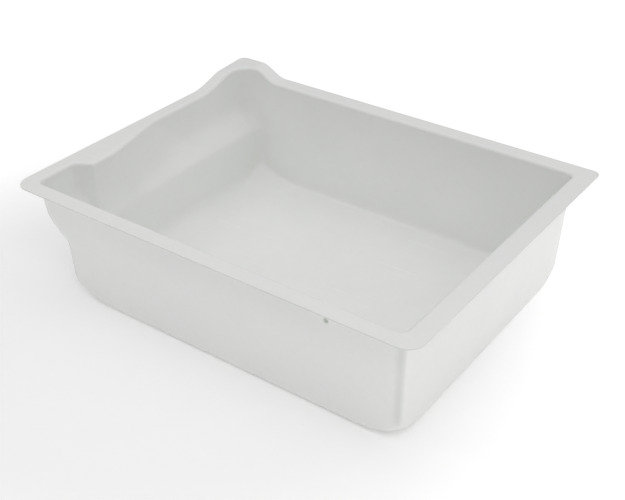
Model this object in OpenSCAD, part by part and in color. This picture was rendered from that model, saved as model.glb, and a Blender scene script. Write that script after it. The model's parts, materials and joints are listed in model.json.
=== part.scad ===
// Developing tray for photographic prints: one deep basin drawn from a single plastic sheet.
// The origin is the middle of the flat underside, under the middle of the rim. +X runs along the
// length, away from the ledge end, +Y runs towards the side with the raised corner, and +Z is up.

/* [Rim] */
// Overall length over the flange
rim_length = 500; // [460:1:600]
// Overall width over the flange
rim_width = 393; // [370:1:470]
// Flange width along the two long sides, from its edge to the wall
side_flange = 20.5; // [16:0.5:26]
// Flange width at the ledge end
ledge_end_flange = 16; // [14:0.5:22]
// Flange width at the plain end
plain_end_flange = 23.5; // [16:0.5:26]
// Radius of the flange's two front corners
front_rim_r = 19; // [10:0.5:22]
// Radius of the flange's two back corners
back_rim_r = 9; // [6:0.5:14]
// Radius of the bend from the top of the flange down into the wall
bend_r = 4; // [3:0.5:6]
// Thickness of the plastic sheet
sheet = 1.6; // [1.2:0.1:2.2]

/* [Basin] */
// Height of the rim above the surface that the tray stands on
rim_height = 137; // [125:1:155]
// Inward lean of the side walls and the ledge end, in mm for each mm of depth
draft = 0.046; // [0.02:0.002:0.08]
// Inward lean of the plain end, in mm for each mm of depth
plain_end_draft = 0.032; // [0.02:0.002:0.08]
// Outside radius of the upright corners
wall_corner_r = 10; // [7:0.5:14]
// Extra radius of the two corners at the ledge end, below the ledge
ledge_corner_extra = 5; // [0:0.5:8]
// Extra radius of the raised corner at the rim
raised_corner_extra = 20; // [0:1:21]
// Outside radius of the edge between the walls and the base
base_edge_r = 9; // [6:0.5:11]
// Outside radius of the base's edge at the ledge end
ledge_end_edge_r = 19; // [12:0.5:20]
// Height of the ball that rounds off each bottom corner
ball_height = 27; // [22:1:32]
// Plan radius that the ball reaches where it meets the base
ball_foot_r = 92; // [50:1:95]

/* [Ledge end] */
// Depth below the rim at which the sloping ledge leaves the wall
ledge_top = 42; // [36:1:48]
// Depth below the rim of the ledge's foot
ledge_foot = 67; // [60:1:74]
// Distance that the ledge's foot stands in from the top of the wall
ledge_reach = 25.5; // [20:0.5:30]
// Distance that the shoulder stands in from the wall above the ledge
shoulder_reach = 19.5; // [10:0.5:21]
// Y at which the shoulder's steep face leaves the wall
shoulder_start = -131; // [-134:1:-127]
// Y at which the steep face reaches the shoulder
shoulder_full = -113; // [-116:1:-110]
// Y at which the shoulder starts to run back into the wall, at the rim
shoulder_fade = -83; // [-100:1:-75]
// Y at which the shoulder has run out, at the rim
shoulder_end = 4; // [-20:1:20]

/* [Raised corner] */
// Height of the raised corner above the rest of the rim
lift = 14; // [8:0.5:16]
// Y at which the ledge-end rim starts to rise
end_lift_start = 95; // [88:1:105]
// Length over which the ledge-end rim rises
end_lift_run = 68; // [55:1:70]
// Distance from the ledge end at which the back rim starts to rise
back_lift_start = 69; // [62:1:78]
// Length over which the back rim rises
back_lift_run = 36; // [28:1:42]

/* [Hidden] */

// Facets in a quarter turn of an upright corner, of the bend and of the base's edge
corner_steps = 8;
bend_steps = 3;
edge_steps = 4;
// Width of the blend where the ledge leaves the wall, and of the crisper one at its foot
top_blend = 8;
foot_blend = 3;
// Share of easing in the line along which the shoulder runs out
fade_ease = 0.2;
// Depths between which the raised corner tightens to the radius of the corner below it
raised_corner_from = 12;
raised_corner_to = 75;
// Growth of the shoulder with depth, as the Y that its fade and its end gain for each mm
fade_growth = 0.3;
end_growth = 1.05;
// Half of the ledge end's width over which its stations stay at the same Y at every depth
fixed_half = 145;
// Least length of the back side that is kept for the rising rim, and the clear lengths beyond it
least_lift_run = 16;
side_clear = 6;
corner_clear = 1;
// Inner limit of the ledge end's stations, short of the corner
end_clear = 1;

// Inside faces of the walls at the level of the rim
side_y = rim_width / 2 - side_flange;
plain_x = rim_length / 2 - plain_end_flange;
ledge_x = ledge_end_flange - rim_length / 2;
// Lean of the ledge, inwards for each mm of depth
ledge_lean = (ledge_reach - draft * ledge_top) / (ledge_foot - ledge_top);

// Depths of the rings down the wall, below the bend and above the balls
wall_depths = concat(
    [bend_r, 12, 24],
    [for (step = [-8, -3, 2, 8]) ledge_top + step],
    [for (step = [-8, -3, 0, 3, 9]) ledge_foot + step],
    [rim_height - ball_height]);
// Heights of the rings round the balls, as shares of the ball's height
ball_shares = [0.68, 0.5];

// Stations along each straight side, as shares of its length, or as Y on the ledge end
side_shares = [0.03, 0.35, 0.65, 0.97];
end_shares = [0.04, 0.5, 0.96];
lift_shares = [for (i = [0:8]) i / 8];
ledge_end_ys = concat(
    [for (u = lift_shares) fixed_half - u * (fixed_half - end_lift_start)],
    [72, 50, 36, 22, 10, shoulder_end, -10, -22, -38, -55, -70, shoulder_fade, -102],
    [for (u = [0:0.25:1]) shoulder_full + u * (shoulder_start - shoulder_full)],
    [-fixed_half]);

function clamped(u) = min(max(u, 0), 1);
function ease(u) = let (c = clamped(u)) c * c * (3 - 2 * c);
function mixed(a, b, u) = a + (b - a) * u;
function blend_max(a, b, width) = (a + b + sqrt((a - b) * (a - b) + width * width)) / 2;
function blend_min(a, b, width) = -blend_max(-a, -b, width);

// How far the rim is raised above its own level at a point of the plan
function rim_lift(x, y) =
    lift * ease((y - end_lift_start) / end_lift_run)
         * ease((back_lift_start - rim_length / 2 - x) / back_lift_run);

// How far the shoulder stands in from the wall
function shoulder(y, depth) =
    let (fade = shoulder_fade + fade_growth * depth)
    let (end = shoulder_end + end_growth * depth)
    let (climb = clamped((y - shoulder_start) / (shoulder_full - shoulder_start)))
    let (run = (end - y) / (end - fade))
    shoulder_reach * ease(climb * climb) * mixed(clamped(run), ease(run), fade_ease);

// Inside face of the ledge end: the wall with its shoulder, the ledge, then the lower wall
function ledge_end_x(y, depth) =
    let (upper = draft * depth + shoulder(y, min(depth, ledge_foot)))
    let (ledge = draft * ledge_top + ledge_lean * (depth - ledge_top))
    let (lower = ledge_reach + draft * (depth - ledge_foot))
    ledge_x + blend_max(upper, blend_min(ledge, lower, foot_blend), top_blend);

// The same face moved out by skin, square to its own slope
function ledge_end_skin(y, depth, skin) =
    let (here = ledge_end_x(y, depth))
    let (down = ledge_end_x(y, depth + 1) - here)
    let (along = ledge_end_x(y + 1, depth) - here)
    here - skin * sqrt(1 + down * down + along * along);

// Radius of an upright corner: even down the wall, then swelling into the ball.
// height is above the floor for the inside face and above the table for the outside one.
function corner_r(height, outer, skin) =
    let (own_ball = ball_height - (outer ? 0 : sheet))
    let (u = clamped(1 - height / own_ball))
    wall_corner_r - sheet + skin + (ball_foot_r - wall_corner_r) * (1 - sqrt(1 - u * u));

// Inset of a rounded bottom edge of radius r at a height above its own face
function edge_inset(height, r) =
    let (rise = max(r - height, 0))
    r - sqrt(r * r - min(rise * rise, r * r));

function arc(cx, cy, r, from) = [
    for (i = [0:corner_steps])
        let (a = from + 90 * i / corner_steps)
        [cx + r * cos(a), cy + r * sin(a)]];

// A closed outline that starts at the front left and runs anticlockwise. Every outline has the same
// stations, so two outlines join face to face. left is a list of ledge-end X, one for each of ys,
// and r holds the corner radii at the front left, front right, back right and back left.
function outline(left, ys, right, y, r) =
    let (last = len(left) - 1)
    let (front_left = left[last] + r[0])
    let (back_left = left[0] + r[3])
    let (lift_from = max(back_lift_start - rim_length / 2, back_left + least_lift_run))
    concat(
        [for (u = side_shares) [mixed(front_left, right - r[1], u), -y]],
        arc(right - r[1], r[1] - y, r[1], -90),
        [for (u = end_shares) [right, mixed(r[1] - y, y - r[2], u)]],
        arc(right - r[2], y - r[2], r[2], 0),
        [for (u = side_shares) [mixed(right - r[2], lift_from + side_clear, u), y]],
        [for (u = lift_shares) [mixed(lift_from, back_left + corner_clear, u), y]],
        arc(back_left, y - r[3], r[3], 90),
        [for (i = [0:last]) [left[i], ys[i]]],
        arc(front_left, r[0] - y, r[0], 180));

// Stations of the ledge end, drawn together where a ball shortens its straight part
function end_stations(half) = [for (v = ledge_end_ys) v * min(1, (half - end_clear) / fixed_half)];

// Outline of the inside face, or of the outside one, at a depth. spread moves it further out.
function wall_outline(depth, outer, spread = 0) =
    let (skin = (outer ? sheet : 0) + spread)
    let (thinner = outer ? 0 : sheet)
    let (height = max(rim_height - depth - thinner, 0))
    let (side_inset = edge_inset(height, base_edge_r - thinner))
    let (end_inset = edge_inset(height, ledge_end_edge_r - thinner))
    let (r = corner_r(height, outer, skin))
    let (left_r = r + ledge_corner_extra * ease((depth - ledge_top) / (ledge_foot - ledge_top)))
    let (tightened = ease((depth - raised_corner_from) / (raised_corner_to - raised_corner_from)))
    let (raised_r = max(left_r, r + mixed(raised_corner_extra, ledge_corner_extra, tightened)))
    let (y = side_y - draft * depth - side_inset + skin)
    let (ys = end_stations(y - raised_r))
    let (left = [for (v = ys) ledge_end_skin(v, depth, skin) + end_inset])
    let (right = plain_x - plain_end_draft * depth - side_inset + skin)
    outline(left, ys, right, y, [left_r, r, r, raised_r]);

// Outline of the flange's outer edge
function rim_outline() =
    let (ys = end_stations(rim_width / 2 - front_rim_r))
    let (left = [for (v = ys) -rim_length / 2])
    outline(left, ys, rim_length / 2, rim_width / 2, [front_rim_r, front_rim_r, back_rim_r, back_rim_r]);

// Sets an outline at a height, with its share of the rim's lift
function raised(points, z, share) = [for (p = points) [p[0], p[1], z + share * rim_lift(p[0], p[1])]];

// Share of the rim's lift that the wall takes at a depth
function lift_share(depth) = ease((ledge_top - depth) / (ledge_top - bend_r));

// Rings of one face, from the flange's bend down to the base
function face_rings(outer) =
    let (base_z = outer ? 0 : sheet)
    let (turn_r = outer ? bend_r - sheet : bend_r)
    let (ball = ball_height - base_z)
    let (edge_r = base_edge_r - base_z)
    concat(
        [for (i = [0:bend_steps - 1])
            let (a = 90 * i / bend_steps)
            let (z = rim_height - bend_r + turn_r * cos(a))
            raised(wall_outline(bend_r, outer, turn_r * (1 - sin(a))), z, 1)],
        [for (depth = wall_depths)
            raised(wall_outline(depth, outer), rim_height - depth, lift_share(depth))],
        [for (share = ball_shares)
            let (z = base_z + share * ball)
            raised(wall_outline(rim_height - z, outer), z, 0)],
        [for (i = [0:edge_steps])
            let (z = base_z + edge_r * (1 - sin(90 * i / edge_steps)))
            raised(wall_outline(rim_height - z, outer), z, 0)]);

module tray() {
    inside = face_rings(false);
    edge = [raised(rim_outline(), rim_height, 1), raised(rim_outline(), rim_height - sheet, 1)];
    rings = concat([for (i = [len(inside) - 1:-1:0]) inside[i]], edge, face_rings(true));
    count = len(rings[0]);
    last = len(rings) - 1;
    floor_middle = len(rings) * count;
    base_middle = floor_middle + 1;
    middles = [[0, 0, sheet], [0, 0, 0]];
    sides = [
        for (k = [0:last - 1], i = [0:count - 1])
            let (j = (i + 1) % count, near = k * count, far = near + count)
            each [[near + i, far + j, far + i], [near + i, near + j, far + j]]];
    floor_face = [for (i = [0:count - 1]) [floor_middle, (i + 1) % count, i]];
    base_face = [for (i = [0:count - 1]) [base_middle, last * count + i, last * count + (i + 1) % count]];
    points = concat([for (ring = rings) each ring], middles);
    color("whitesmoke")
        polyhedron(points, concat(floor_face, sides, base_face), convexity = 10);
}

tray();
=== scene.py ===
"""Developing tray: the visual model of one drawn plastic sheet, with its material, light and camera."""

import json
import math

import bpy
import numpy as np
from mathutils import Matrix, Vector


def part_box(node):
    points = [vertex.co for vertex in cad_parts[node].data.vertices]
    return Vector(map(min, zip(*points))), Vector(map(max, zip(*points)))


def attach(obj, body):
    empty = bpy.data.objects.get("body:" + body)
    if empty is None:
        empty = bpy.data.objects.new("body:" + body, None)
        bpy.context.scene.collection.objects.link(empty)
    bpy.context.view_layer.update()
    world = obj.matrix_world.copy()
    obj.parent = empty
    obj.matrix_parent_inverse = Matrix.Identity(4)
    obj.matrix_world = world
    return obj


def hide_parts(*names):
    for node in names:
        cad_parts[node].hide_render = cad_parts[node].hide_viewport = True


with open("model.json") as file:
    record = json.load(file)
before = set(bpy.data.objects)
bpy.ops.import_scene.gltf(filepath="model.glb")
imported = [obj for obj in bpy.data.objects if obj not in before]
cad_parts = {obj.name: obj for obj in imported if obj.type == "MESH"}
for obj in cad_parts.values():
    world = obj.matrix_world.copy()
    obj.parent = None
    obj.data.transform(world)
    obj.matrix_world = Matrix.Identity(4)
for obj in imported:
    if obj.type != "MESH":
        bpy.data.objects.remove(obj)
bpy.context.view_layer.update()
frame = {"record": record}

# ---------------------------------------------------------------- sizes, in mm of a tray 500 mm long
low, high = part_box("tray")
RIM_LENGTH = 500.0
MM = (high.x - low.x) / RIM_LENGTH
RIM_WIDTH = (high.y - low.y) / MM
TOTAL_HEIGHT = (high.z - low.z) / MM
LIFT = 14.0
RIM_HEIGHT = TOTAL_HEIGHT - LIFT
SHEET = 1.6

SIDE_FLANGE = 20.5
LEDGE_END_FLANGE = 16.0
PLAIN_END_FLANGE = 23.5
FRONT_RIM_R = 19.0
BACK_RIM_R = 9.0
BEND_R = 4.0
TRIM_R = 0.45

DRAFT = 0.046
PLAIN_END_DRAFT = 0.032
WALL_CORNER_R = 10.0
LEDGE_CORNER_EXTRA = 5.0
RAISED_CORNER_EXTRA = 20.0
RAISED_CORNER_FROM = 12.0
RAISED_CORNER_TO = 75.0
BASE_EDGE_R = 9.0
LEDGE_END_EDGE_R = 19.0
BALL_HEIGHT = 27.0
BALL_FOOT_R = 92.0

LEDGE_TOP = 42.0
LEDGE_FOOT = 67.0
LEDGE_REACH = 25.5
SHOULDER_REACH = 19.5
SHOULDER_START = -131.0
SHOULDER_FULL = -113.0
SHOULDER_FADE = -83.0
SHOULDER_END = 4.0
FADE_EASE = 0.2
FADE_GROWTH = 0.3
END_GROWTH = 1.05
TOP_BLEND = 8.0
FOOT_BLEND = 3.0

END_LIFT_START = 95.0
END_LIFT_RUN = 68.0
BACK_LIFT_START = 69.0
BACK_LIFT_RUN = 36.0

SIDE_Y = RIM_WIDTH / 2 - SIDE_FLANGE
PLAIN_X = RIM_LENGTH / 2 - PLAIN_END_FLANGE
LEDGE_X = LEDGE_END_FLANGE - RIM_LENGTH / 2
LEDGE_LEAN = (LEDGE_REACH - DRAFT * LEDGE_TOP) / (LEDGE_FOOT - LEDGE_TOP)

# ---------------------------------------------------------------- how finely the sheet is drawn
ARC_STEPS = 22
SIDE_STEPS = 44
END_STEPS = 36
LIFT_STEPS = 20
BEND_STEPS = 9
FLANGE_STEPS = 9
TRIM_STEPS = 5
FOOT_STEPS = 8
EDGE_STEPS = 14
FLOOR_STEPS = 20
INNERMOST_SHARE = 0.02

# Gaps left between one run of stations and the next, and the shortest run along the rising rim.
SIDE_CLEAR = 3.0
CORNER_CLEAR = 1.0
END_CLEAR = 1.0
LEAST_LIFT_RUN = 16.0

# The ledge end from its back to its front: where each stretch starts along Y, and its steps. They are
# closest together on the shoulder's steep face. FIXED_HALF is half the end's length between its corners.
FIXED_HALF = 145.0
SHOULDER_MARGIN = 6.0
STEEP_MARGIN = 13.0
LEDGE_END_STRETCHES = (
    (FIXED_HALF, 22),
    (END_LIFT_START, 28),
    (SHOULDER_END + SHOULDER_MARGIN, 46),
    (SHOULDER_FULL + STEEP_MARGIN, 46),
    (SHOULDER_START - SHOULDER_MARGIN, 5),
    (-FIXED_HALF, 0),
)

# The wall from its bend down to the ball corners: where each stretch starts in depth, and its steps. They
# are closest together where the ledge leaves the wall and meets it again.
LEDGE_TOP_MARGIN = 10.0
LEDGE_FOOT_MARGIN = 7.0
WALL_STRETCHES = (
    (BEND_R, 12),
    (LEDGE_TOP - TOP_BLEND, 16),
    (LEDGE_TOP + LEDGE_TOP_MARGIN, 5),
    (LEDGE_FOOT - LEDGE_FOOT_MARGIN, 17),
    (LEDGE_FOOT + LEDGE_FOOT_MARGIN, 10),
    (RIM_HEIGHT - BALL_HEIGHT - SHEET, 0),
)


def clamped(u):
    return np.clip(u, 0.0, 1.0)


def ease(u):
    c = clamped(u)
    return c * c * (3 - 2 * c)


def mixed(a, b, u):
    return a + (b - a) * u


def blend_max(a, b, width):
    return (a + b + np.sqrt((a - b) ** 2 + width**2)) / 2


def blend_min(a, b, width):
    return -blend_max(-a, -b, width)


def rim_lift(x, y):
    """How far the rim is raised above its own level at a point of the plan."""
    along_end = ease((y - END_LIFT_START) / END_LIFT_RUN)
    along_back = ease((BACK_LIFT_START - RIM_LENGTH / 2 - x) / BACK_LIFT_RUN)
    return LIFT * along_end * along_back


def shoulder(y, depth):
    """How far the shoulder stands in from the wall above the ledge."""
    fade = SHOULDER_FADE + FADE_GROWTH * depth
    end = SHOULDER_END + END_GROWTH * depth
    climb = clamped((y - SHOULDER_START) / (SHOULDER_FULL - SHOULDER_START))
    run = (end - y) / (end - fade)
    return SHOULDER_REACH * ease(climb**2) * mixed(clamped(run), ease(run), FADE_EASE)


def ledge_end_x(y, depth):
    """Inside face of the ledge end: the wall with its shoulder, the ledge, then the lower wall."""
    upper = DRAFT * depth + shoulder(y, min(depth, LEDGE_FOOT))
    ledge = DRAFT * LEDGE_TOP + LEDGE_LEAN * (depth - LEDGE_TOP)
    lower = LEDGE_REACH + DRAFT * (depth - LEDGE_FOOT)
    return LEDGE_X + blend_max(upper, blend_min(ledge, lower, FOOT_BLEND), TOP_BLEND)


def ledge_end_skin(y, depth, skin):
    """The same face moved out by skin, square to its own slope."""
    here = ledge_end_x(y, depth)
    down = ledge_end_x(y, depth + 1) - here
    along = ledge_end_x(y + 1, depth) - here
    return here - skin * np.sqrt(1 + down**2 + along**2)


def corner_r(height, outer, skin):
    """Radius of an upright corner: even down the wall, then swelling into the ball at its foot."""
    own_ball = BALL_HEIGHT - (0 if outer else SHEET)
    u = min(max(1 - height / own_ball, 0), 1)
    return WALL_CORNER_R - SHEET + skin + (BALL_FOOT_R - WALL_CORNER_R) * (1 - math.sqrt(1 - u * u))


def edge_inset(height, r):
    rise = max(r - height, 0)
    return r - math.sqrt(r * r - min(rise * rise, r * r))


def arc(cx, cy, r, start):
    a = np.radians(start + np.linspace(0, 90, ARC_STEPS + 1))
    return np.stack([cx + r * np.cos(a), cy + r * np.sin(a)], 1)


def line_x(x0, x1, shares, y):
    return np.stack([mixed(x0, x1, shares), np.full(len(shares), y)], 1)


def line_y(x, y0, y1, shares):
    return np.stack([np.full(len(shares), x), mixed(y0, y1, shares)], 1)


def inner_shares(steps):
    return (np.arange(steps) + 0.5) / steps


def stepped(stretches):
    """Places along a line, evenly stepped within each stretch, without the line's far end."""
    ends = [start for start, _ in stretches[1:]]
    return np.concatenate([
        np.linspace(start, end, steps, endpoint=False) for (start, steps), end in zip(stretches, ends)
    ])


LEDGE_END_YS = np.append(stepped(LEDGE_END_STRETCHES), -FIXED_HALF)
WALL_DEPTHS = stepped(WALL_STRETCHES)


def outline(left, ys, right, y, radii):
    """A closed plan outline, anticlockwise from the front left, with the same stations every time."""
    front_left = left[-1] + radii[0]
    back_left = left[0] + radii[3]
    lift_from = max(BACK_LIFT_START - RIM_LENGTH / 2, back_left + LEAST_LIFT_RUN)
    return np.concatenate([
        line_x(front_left, right - radii[1], inner_shares(SIDE_STEPS), -y),
        arc(right - radii[1], radii[1] - y, radii[1], -90),
        line_y(right, radii[1] - y, y - radii[2], inner_shares(END_STEPS)),
        arc(right - radii[2], y - radii[2], radii[2], 0),
        line_x(right - radii[2], lift_from + SIDE_CLEAR, inner_shares(SIDE_STEPS), y),
        line_x(lift_from, back_left + CORNER_CLEAR, np.linspace(0, 1, LIFT_STEPS), y),
        arc(back_left, y - radii[3], radii[3], 90),
        np.stack([left, ys], 1),
        arc(front_left, radii[0] - y, radii[0], 180),
    ])


def end_stations(half):
    """The ledge end's stations, drawn together where its corners leave it less than its own length."""
    return LEDGE_END_YS * min(1.0, (half - END_CLEAR) / FIXED_HALF)


def wall_outline(depth, outer, spread=0.0):
    """Plan outline of the inside face, or of the outside one, at a depth below the rim."""
    skin = (SHEET if outer else 0) + spread
    thinner = 0 if outer else SHEET
    height = max(RIM_HEIGHT - depth - thinner, 0)
    side_inset = edge_inset(height, BASE_EDGE_R - thinner)
    end_inset = edge_inset(height, LEDGE_END_EDGE_R - thinner)
    r = corner_r(height, outer, skin)
    left_r = r + LEDGE_CORNER_EXTRA * float(ease((depth - LEDGE_TOP) / (LEDGE_FOOT - LEDGE_TOP)))
    tightened = float(ease((depth - RAISED_CORNER_FROM) / (RAISED_CORNER_TO - RAISED_CORNER_FROM)))
    raised_r = max(left_r, r + mixed(RAISED_CORNER_EXTRA, LEDGE_CORNER_EXTRA, tightened))
    y = SIDE_Y - DRAFT * depth - side_inset + skin
    ys = end_stations(y - raised_r)
    left = ledge_end_skin(ys, depth, skin) + end_inset
    right = PLAIN_X - PLAIN_END_DRAFT * depth - side_inset + skin
    return outline(left, ys, right, y, [left_r, r, r, raised_r])


def rim_outline(inset=0.0):
    """Plan outline of the flange's trimmed edge, drawn in by inset."""
    ys = end_stations(RIM_WIDTH / 2 - FRONT_RIM_R)
    left = np.full(len(ys), inset - RIM_LENGTH / 2)
    radii = [FRONT_RIM_R - inset, FRONT_RIM_R - inset, BACK_RIM_R - inset, BACK_RIM_R - inset]
    return outline(left, ys, RIM_LENGTH / 2 - inset, RIM_WIDTH / 2 - inset, radii)


def raised(plan, z, share):
    return np.column_stack([plan, z + share * rim_lift(plan[:, 0], plan[:, 1])])


def face_rings(outer):
    """Rings of one face of the sheet, from the flange's bend down to the base."""
    base_z = 0 if outer else SHEET
    turn_r = BEND_R - SHEET if outer else BEND_R
    rings = []
    for i in range(BEND_STEPS):
        a = math.pi / 2 * i / BEND_STEPS
        z = RIM_HEIGHT - BEND_R + turn_r * math.cos(a)
        rings.append(raised(wall_outline(BEND_R, outer, turn_r * (1 - math.sin(a))), z, 1))
    for depth in WALL_DEPTHS:
        share = float(ease((LEDGE_TOP - depth) / (LEDGE_TOP - BEND_R)))
        rings.append(raised(wall_outline(depth, outer), RIM_HEIGHT - depth, share))
    foot_r = LEDGE_END_EDGE_R - base_z
    top = RIM_HEIGHT - WALL_DEPTHS[-1]
    for share in inner_shares(FOOT_STEPS):
        z = mixed(top, base_z + foot_r, share)
        rings.append(raised(wall_outline(RIM_HEIGHT - z, outer), z, 0))
    for i in range(EDGE_STEPS + 1):
        z = base_z + foot_r * (1 - math.sin(math.pi / 2 * i / EDGE_STEPS))
        rings.append(raised(wall_outline(RIM_HEIGHT - z, outer), z, 0))
    return rings


def trim_rings():
    """The flange's top, its cut edge with the two arrises eased, and the start of its underside."""
    rings = []
    bend = wall_outline(BEND_R, False, BEND_R)
    edge = rim_outline(TRIM_R)
    for share in np.linspace(0, 1, FLANGE_STEPS + 1)[1:]:
        rings.append(raised(mixed(bend, edge, share), RIM_HEIGHT, 1))
    for face, z_mid in ((1, RIM_HEIGHT - TRIM_R), (-1, RIM_HEIGHT - SHEET + TRIM_R)):
        for i in range(TRIM_STEPS):
            a = math.pi / 2 * (i + 0.5) / TRIM_STEPS
            turn = a if face > 0 else math.pi / 2 - a
            plan = rim_outline(TRIM_R * (1 - math.sin(turn)))
            rings.append(raised(plan, z_mid + face * TRIM_R * math.cos(turn), 1))
    under = wall_outline(BEND_R, True, BEND_R - SHEET)
    for share in np.linspace(0, 1, FLANGE_STEPS + 1)[:-1]:
        rings.append(raised(mixed(edge, under, share), RIM_HEIGHT - SHEET, 1))
    return rings


def floor_rings(edge_ring, z):
    """Rings of the flat bottom, drawn in from its edge towards the middle."""
    rings = []
    for share in np.linspace(1, INNERMOST_SHARE, FLOOR_STEPS)[1:]:
        ring = edge_ring * np.array([share, share, 0])
        ring[:, 2] = z
        rings.append(ring)
    return rings


# The drawn sheet isn't perfectly true: its walls and bottom swing by a fraction of a mm. The swing starts
# clear of the rim, the base and the bottom's edges, and grows over a run. A wave's length is for one
# radian, and the second wave has a share of the first one's height.
WALL_WAVE = 0.3
SECOND_WAVE = 0.6
RIM_CLEAR = 8.0
RIM_RUN = 25.0
BASE_CLEAR = 6.0
BASE_RUN = 22.0
FLOOR_WAVE = 0.35
FLOOR_CROWN = 0.5
FLOOR_SIDE_CLEAR = 22.0
FLOOR_END_CLEAR = 26.0
FLOOR_RUN = 60.0
FLOOR_DEPTH = 3.0


def untrue(p):
    """Moves points by the slow unevenness that a drawn sheet has, the same on both of its faces."""
    x, y, z = p[:, 0], p[:, 1], p[:, 2]
    band = ease((RIM_HEIGHT - RIM_CLEAR - z) / RIM_RUN) * ease((z - BASE_CLEAR) / BASE_RUN)
    end_wave = np.sin(y / 31 + 0.6) * np.cos(z / 24 + 0.3) + SECOND_WAVE * np.sin(y / 17 + z / 29 + 2.0)
    side_wave = np.sin(x / 37 + 1.1) * np.cos(z / 26 + 0.9) + SECOND_WAVE * np.sin(x / 19 - z / 31 + 0.4)
    dx = WALL_WAVE * band * end_wave * x / PLAIN_X
    dy = WALL_WAVE * band * side_wave * y / SIDE_Y
    from_side = ease((SIDE_Y - FLOOR_SIDE_CLEAR - np.abs(y)) / FLOOR_RUN)
    from_end = ease((PLAIN_X - FLOOR_END_CLEAR - np.abs(x)) / FLOOR_RUN)
    middle = from_side * from_end
    at_bottom = ease((SHEET + FLOOR_DEPTH - z) / FLOOR_DEPTH)
    bottom_wave = 0.5 + 0.25 * np.sin(x / 43 + 0.8) * np.cos(y / 39 + 0.4) + 0.25 * np.sin((x + y) / 27 + 1.9)
    dz = at_bottom * middle * (FLOOR_CROWN * middle + FLOOR_WAVE * bottom_wave)
    return p + np.stack([dx, dy, dz], 1)


def corner_shade_shares():
    """Share, from 0 to 1, by which each station of an outline lies in a corner, where painted shade darkens
    the outside.
    """
    arc_share = np.sin(np.linspace(0, math.pi, ARC_STEPS + 1)) ** 2
    gaps = (SIDE_STEPS, END_STEPS, SIDE_STEPS + LIFT_STEPS, len(LEDGE_END_YS))
    return np.concatenate([part for gap in gaps for part in (np.zeros(gap), arc_share)])


# Painted shade down the outer upright corners: it fades in below the bend over the top run, and out towards
# the base over the foot run.
CORNER_SHADE_TOP_RUN = 10.0
CORNER_SHADE_FOOT_RUN = 26.0
# Rings on each side of the middle of the cut edge that take the sawn edge's painted shade line and its extra
# roughness.
SAWN_REACH = 2


def lay_masks(mesh, parts, count):
    """Stores, at each point, how far it belongs to the sawn edge and to an outer upright corner, for their
    painted shade and the sawn edge's roughness.
    """
    floor, inside, trim, outside, base = parts
    z = np.array([ring[0][2] for ring in outside])
    sawn = np.zeros(len(trim))
    edge = FLANGE_STEPS + TRIM_STEPS
    sawn[edge - SAWN_REACH:edge + SAWN_REACH] = 1
    down = ease((RIM_HEIGHT - BEND_R - z) / CORNER_SHADE_TOP_RUN) * ease((z - BASE_EDGE_R) / CORNER_SHADE_FOOT_RUN)
    by_ring = {
        "sawn": [np.zeros(len(floor) + len(inside)), sawn, np.zeros(len(outside) + len(base))],
        "drawn": [np.zeros(len(floor) + len(inside) + len(trim)), down, np.zeros(len(base))],
    }
    across = {"sawn": np.ones(count), "drawn": corner_shade_shares()}
    for name, values in by_ring.items():
        grid = np.outer(np.concatenate(values), across[name]).ravel()
        mesh.attributes.new(name, "FLOAT", "POINT").data.foreach_set("value", np.append(grid, [0, 0]))


def build_sheet():
    """The sheet as one closed mesh of rings: floor, inside, flange, outside and base."""
    inside = face_rings(False)
    outside = face_rings(True)
    floor = floor_rings(inside[-1], SHEET)
    base = floor_rings(outside[-1], 0.0)
    parts = [floor[::-1], inside[::-1], trim_rings(), outside, base]
    rings = [ring for part in parts for ring in part]
    count = len(rings[0])
    points = np.concatenate(rings + [np.array([[0, 0, SHEET], [0, 0, 0.0]])])
    points = untrue(points) * MM
    floor_middle, base_middle = len(points) - 2, len(points) - 1
    here = np.arange(count)
    after = (here + 1) % count
    faces = []
    for k in range(len(rings) - 1):
        near, far = k * count, (k + 1) * count
        faces += np.stack([near + here, far + here, far + after, near + after], 1).tolist()
    last = (len(rings) - 1) * count
    faces += [[floor_middle, i, j] for i, j in zip(here.tolist(), after.tolist())]
    faces += [[base_middle, last + j, last + i] for i, j in zip(here.tolist(), after.tolist())]
    mesh = bpy.data.meshes.new("tray_sheet")
    mesh.from_pydata(points.tolist(), [], faces)
    lay_masks(mesh, parts, count)
    mesh.shade_smooth()
    mesh.update()
    sheet = bpy.data.objects.new("tray_sheet", mesh)
    bpy.context.scene.collection.objects.link(sheet)
    return sheet


# ---------------------------------------------------------------- material
class Nodes:
    """A short way to add shader nodes and wire them."""

    def __init__(self, tree):
        self.tree = tree
        tree.nodes.clear()

    def add(self, kind, inputs=None, **settings):
        node = self.tree.nodes.new(kind)
        for name, value in settings.items():
            setattr(node, name, value)
        for name, value in (inputs or {}).items():
            if isinstance(value, bpy.types.NodeSocket):
                self.tree.links.new(value, node.inputs[name])
            else:
                node.inputs[name].default_value = value
        return node

    def math(self, operation, *values):
        return self.add("ShaderNodeMath", dict(enumerate(values)), operation=operation).outputs[0]

    def vector(self, operation, *values):
        return self.add("ShaderNodeVectorMath", dict(enumerate(values)), operation=operation)

    def noise(self, where, scale, detail, roughness):
        inputs = {"Vector": where, "Scale": scale, "Detail": detail, "Roughness": roughness}
        return self.add("ShaderNodeTexNoise", inputs).outputs["Fac"]

    def ramp(self, value, start, end, out_start=0.0, out_end=1.0):
        inputs = {"Value": value, "From Min": start, "From Max": end, "To Min": out_start, "To Max": out_end}
        return self.add("ShaderNodeMapRange", inputs, interpolation_type="SMOOTHSTEP").outputs["Result"]


# A grey-green spot under the front flange, in mm. It is whole within one share of its radius and gone
# beyond another, so it reaches through the thin sheet to the inside of the wall.
SPOT_AT = (144.7, -(SIDE_Y + 0.6), RIM_HEIGHT - 22.3)
SPOT_R = 2.3
SPOT_WHOLE = 0.7
SPOT_GONE = 1.7

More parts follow.
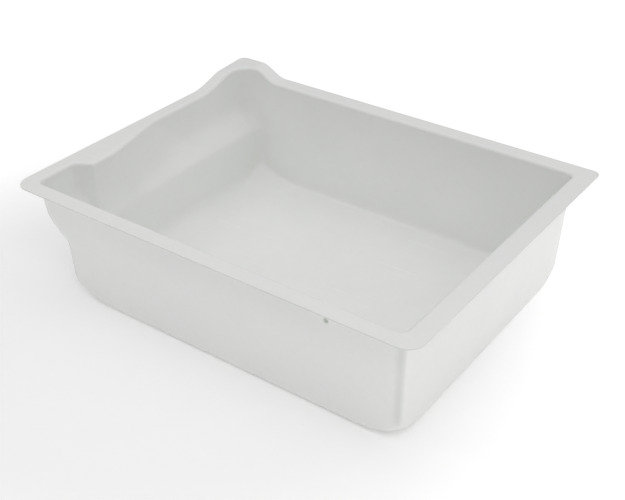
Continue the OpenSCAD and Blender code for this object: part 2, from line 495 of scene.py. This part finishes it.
# Handling scratches on the level faces: streaks per metre along their length, then turn and streaks across.
SCRATCH_ALONG = 9.0
SCRATCH_SETS = ((24, 420.0), (-57, 510.0))
SCRATCH_NOISE = (1.0, 1.0, 0.4)
SCRATCH_FROM = 0.73
SCRATCH_TO = 0.78
LEVEL_FROM = 0.85
LEVEL_TO = 0.98

# Noises, each as its features per metre, detail and roughness.
CLOUDS = (11.0, 4.0, 0.55)
MOTTLE = (130.0, 3.0, 0.6)
ORANGE_PEEL = (260.0, 2.0, 0.45)
WOBBLE = (900.0, 2.0, 0.6)
GRAIN = (1400.0, 2.0, 0.5)
CLOUD_FROM = 0.3
CLOUD_TO = 0.7
MOTTLE_FROM = 0.45
MOTTLE_TO = 0.7

# Factors on the plastic's own colour, or on what lies under a mask; the corner and sawn-edge ones paint
# shade.
DIM_CLOUD = (1.034, 1.034, 1.036)
BRIGHT_CLOUD = (1.056, 1.054, 1.048)
MOTTLE_TONE = (0.988, 0.99, 0.988)
SCRATCH_TONE = (0.985, 0.985, 0.985)
# Painted shade on the outer upright corners.
CORNER_SHADE_TONE = (0.84, 0.845, 0.84)
# Painted shade line along the sawn edge, under the flange's rim.
SAWN_SHADE_TONE = (0.80, 0.80, 0.79)
SPOT_TONE = (0.60, 0.63, 0.58)

# Roughness between the clouds, then what each mask adds to it.
ROUGHNESS_FROM = 0.18
ROUGHNESS_TO = 0.22
MOTTLE_ROUGHNESS = 0.03
SCRATCH_ROUGHNESS = 0.10
SAWN_ROUGHNESS = 0.35


def near_point(n, where, point, radius, wobble):
    """Mask that is 1 within radius of a point and 0 beyond it, with a ragged rim."""
    offset = n.vector("SUBTRACT", where, Vector(point) * MM).outputs["Vector"]
    distance = n.vector("LENGTH", offset).outputs["Value"]
    ragged = n.math("ADD", distance, n.math("MULTIPLY", wobble, radius * MM))
    return n.ramp(ragged, radius * MM * SPOT_WHOLE, radius * MM * SPOT_GONE, 1.0, 0.0)


def stretched(n, where, scale, turn):
    """Object coordinates turned about Z and stretched, so that a noise on them becomes streaks."""
    inputs = {"Vector": where, "Rotation": (0, 0, math.radians(turn)), "Scale": scale}
    return n.add("ShaderNodeMapping", inputs).outputs["Vector"]


def plastic():
    """White thermoformed sheet: satin, faintly clouded, handling scratches, one small spot, painted shade on
    corners and sawn edge.
    """
    base = next(m for m in frame["record"]["materials"] if m["slot"] == "white_plastic")["base_color"]
    material = bpy.data.materials.new("white_plastic_sheet")
    material.use_nodes = True
    n = Nodes(material.node_tree)
    where = n.add("ShaderNodeTexCoord").outputs["Object"]
    sawn = n.add("ShaderNodeAttribute", attribute_name="sawn").outputs["Fac"]
    drawn = n.add("ShaderNodeAttribute", attribute_name="drawn").outputs["Fac"]

    clouds = n.noise(where, *CLOUDS)
    mottle = n.noise(where, *MOTTLE)
    grain = n.noise(where, *GRAIN)
    orange_peel = n.noise(where, *ORANGE_PEEL)
    wobble = n.math("SUBTRACT", n.noise(where, *WOBBLE), 0.5)

    up = n.add("ShaderNodeSeparateXYZ", {0: n.add("ShaderNodeNewGeometry").outputs["Normal"]}).outputs["Z"]
    streaks = []
    for turn, across in SCRATCH_SETS:
        lengthwise = stretched(n, where, (SCRATCH_ALONG, across, across), turn)
        streaks.append(n.ramp(n.noise(lengthwise, *SCRATCH_NOISE), SCRATCH_FROM, SCRATCH_TO))
    scratches = n.math("MULTIPLY", n.math("MAXIMUM", *streaks), n.ramp(up, LEVEL_FROM, LEVEL_TO))

    def tone(colour, mask, factor):
        """Multiplies a colour by factor where the mask is 1."""
        mix = n.add("ShaderNodeMix", {"Factor": mask}, data_type="RGBA", blend_type="MULTIPLY")
        n.tree.links.new(colour, mix.inputs["A"])
        mix.inputs["B"].default_value = (*factor, 1)
        return mix.outputs["Result"]

    start = n.add("ShaderNodeMix", {"Factor": n.ramp(clouds, CLOUD_FROM, CLOUD_TO)}, data_type="RGBA")
    for side, factor in (("A", DIM_CLOUD), ("B", BRIGHT_CLOUD)):
        start.inputs[side].default_value = (*[c * f for c, f in zip(base, factor)], 1)
    colour = start.outputs["Result"]
    colour = tone(colour, n.ramp(mottle, MOTTLE_FROM, MOTTLE_TO), MOTTLE_TONE)
    colour = tone(colour, scratches, SCRATCH_TONE)
    # Painted shade down the outer upright corners.
    colour = tone(colour, drawn, CORNER_SHADE_TONE)
    # Painted shade line along the sawn edge; the roughness it adds further down is the cut's own.
    colour = tone(colour, sawn, SAWN_SHADE_TONE)
    colour = tone(colour, near_point(n, where, SPOT_AT, SPOT_R, wobble), SPOT_TONE)

    roughness = n.ramp(clouds, CLOUD_FROM, CLOUD_TO, ROUGHNESS_FROM, ROUGHNESS_TO)
    for mask, rise in ((mottle, MOTTLE_ROUGHNESS), (scratches, SCRATCH_ROUGHNESS), (sawn, SAWN_ROUGHNESS)):
        roughness = n.math("ADD", roughness, n.math("MULTIPLY", mask, rise))
    bump = n.add("ShaderNodeBump", {"Height": orange_peel, "Strength": 0.35, "Distance": 0.00012})
    bump = n.add("ShaderNodeBump", {
        "Height": n.math("SUBTRACT", grain, scratches), "Strength": 0.3, "Distance": 0.000015,
        "Normal": bump.outputs["Normal"],
    })
    shader = n.add("ShaderNodeBsdfPrincipled", {
        "Base Color": colour,
        "Roughness": roughness,
        "IOR": 1.49,
        "Normal": bump.outputs["Normal"],
    })
    n.add("ShaderNodeOutputMaterial", {"Surface": shader.outputs["BSDF"]})
    return material


# ---------------------------------------------------------------- the tray
sheet = build_sheet()
sheet.data.materials.append(plastic())
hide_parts("tray")
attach(sheet, "root")

# ---------------------------------------------------------------- floor and light
FLOOR_HALF = 12.0 * RIM_LENGTH * MM
FLOOR_GAP = 0.3 * MM
# The white floor glows a little, as a lit sweep does: least near the tray's ledge end, and more
# further out. Distances are in half lengths of the tray.
GLOW_MIDDLE = (-0.35, -0.55)
GLOW_FROM = 1.0
GLOW_TO = 2.2
GLOW_NEAR = 0.15
GLOW_FAR = 0.42


def studio_floor():
    """A wide white floor just under the tray."""
    mesh = bpy.data.meshes.new("studio_floor")
    corners = [(-1, -1), (1, -1), (1, 1), (-1, 1)]
    points = [(x * FLOOR_HALF, y * FLOOR_HALF, low.z - FLOOR_GAP) for x, y in corners]
    mesh.from_pydata(points, [], [(0, 1, 2, 3)])
    floor = bpy.data.objects.new("studio_floor", mesh)
    bpy.context.scene.collection.objects.link(floor)
    material = bpy.data.materials.new("studio_floor_white")
    material.use_nodes = True
    n = Nodes(material.node_tree)
    where = n.add("ShaderNodeTexCoord").outputs["Object"]
    middle = (GLOW_MIDDLE[0] * high.x, GLOW_MIDDLE[1] * high.x, 0)
    offset = n.vector("SUBTRACT", where, middle).outputs["Vector"]
    away = n.vector("LENGTH", offset).outputs["Value"]
    glow = n.ramp(away, GLOW_FROM * high.x, GLOW_TO * high.x, GLOW_NEAR, GLOW_FAR)
    shader = n.add("ShaderNodeBsdfPrincipled", {
        "Base Color": (0.92, 0.92, 0.92, 1),
        "Roughness": 0.9,
        "Specular IOR Level": 0.1,
        "Emission Color": (1, 1, 1, 1),
        "Emission Strength": glow,
    })
    n.add("ShaderNodeOutputMaterial", {"Surface": shader.outputs["BSDF"]})
    mesh.materials.append(material)


# Soft surroundings: one lobe overhead, and two rings of lobes whose brightness swings with the
# azimuth. Azimuth 0 lies towards -Y, in front of the tray, and 90 towards +X.
LOBE_SHARPNESS = 5.0
OVERHEAD = 0.54
RING_AZIMUTHS = range(0, 360, 45)
HIGH_RING = {"elevation": 45, "mean": 0.235, "swing": 0.08, "brightest": 35}
LOW_RING = {"elevation": 10, "mean": 0.08, "swing": 0.16, "brightest": 170}

# Two softboxes high in front: a small one on the left, whose reflection runs along the fillets, and a
# wide one on the right, which reaches the back of the basin. Each has its direction, size in tray
# lengths and radiance.
SOFTBOX_AWAY = 3.0
SOFTBOXES = {
    "softbox_left": ((-0.49, -0.42, 0.76), 0.33, 7.0),
    "softbox_right": ((0.42, -0.45, 0.79), 0.80, 3.2),
}


def towards(azimuth, elevation):
    a, e = math.radians(azimuth), math.radians(elevation)
    return Vector((math.sin(a) * math.cos(e), -math.cos(a) * math.cos(e), math.sin(e)))


def lobes():
    """Direction and brightness of each soft lobe."""
    found = [(towards(0, 90), OVERHEAD)]
    for ring in (HIGH_RING, LOW_RING):
        for azimuth in RING_AZIMUTHS:
            swing = ring["swing"] * math.cos(math.radians(azimuth - ring["brightest"]))
            brightness = ring["mean"] + swing
            if brightness > 0:
                found.append((towards(azimuth, ring["elevation"]), brightness))
    return found


def studio_light():
    """The world's light: the sum of the soft lobes, each falling off round its own direction."""
    world = bpy.data.worlds.new("studio")
    bpy.context.scene.world = world
    world.use_nodes = True
    n = Nodes(world.node_tree)
    where = n.add("ShaderNodeTexCoord").outputs["Generated"]
    total = None
    for direction, brightness in lobes():
        facing = n.vector("DOT_PRODUCT", where, direction).outputs["Value"]
        lobe = n.math("EXPONENT", n.math("MULTIPLY", n.math("SUBTRACT", facing, 1.0), LOBE_SHARPNESS))
        lit = n.math("MULTIPLY", lobe, brightness)
        total = lit if total is None else n.math("ADD", total, lit)
    background = n.add("ShaderNodeBackground", {"Color": (1, 1, 1, 1), "Strength": total})
    n.add("ShaderNodeOutputWorld", {"Surface": background.outputs["Background"]})


def softbox(name, direction, size, radiance):
    """A square area light that faces the tray from a direction."""
    length = RIM_LENGTH * MM
    data = bpy.data.lights.new(name, "AREA")
    data.shape = "SQUARE"
    data.size = size * length
    data.energy = radiance * math.pi * data.size**2
    lamp = bpy.data.objects.new(name, data)
    direction = Vector(direction).normalized()
    turn = (-direction).to_track_quat("-Z", "Y").to_matrix().to_4x4()
    lamp.matrix_world = Matrix.Translation(direction * SOFTBOX_AWAY * length) @ turn
    bpy.context.scene.collection.objects.link(lamp)


studio_floor()
studio_light()
for name, settings in SOFTBOXES.items():
    softbox(name, *settings)

# ---------------------------------------------------------------- camera, in lengths of the tray
RIM_MIDDLE = Vector((0, 0, low.z + RIM_HEIGHT * MM))
CAMERA_FROM = Vector((1.1858, -1.6438, 1.1171))
CAMERA_AT = Vector((0.1708, -0.2291, 0))
CAMERA_ROLL = 0.08
LENS = 61.65
SENSOR = 36.0


def camera():
    """The camera at the photographed angle."""
    length = RIM_LENGTH * MM
    data = bpy.data.cameras.new("camera")
    data.lens = LENS
    data.sensor_width = SENSOR
    eye = bpy.data.objects.new("camera", data)
    place = RIM_MIDDLE + CAMERA_FROM * length
    target = RIM_MIDDLE + CAMERA_AT * length
    turn = (target - place).to_track_quat("-Z", "Y").to_matrix().to_4x4()
    roll = Matrix.Rotation(math.radians(CAMERA_ROLL), 4, "Z")
    eye.matrix_world = Matrix.Translation(place) @ turn @ roll
    bpy.context.scene.collection.objects.link(eye)
    bpy.context.scene.camera = eye


camera()
bpy.context.scene.view_settings.view_transform = "Standard"
bpy.context.scene.view_settings.look = "None"
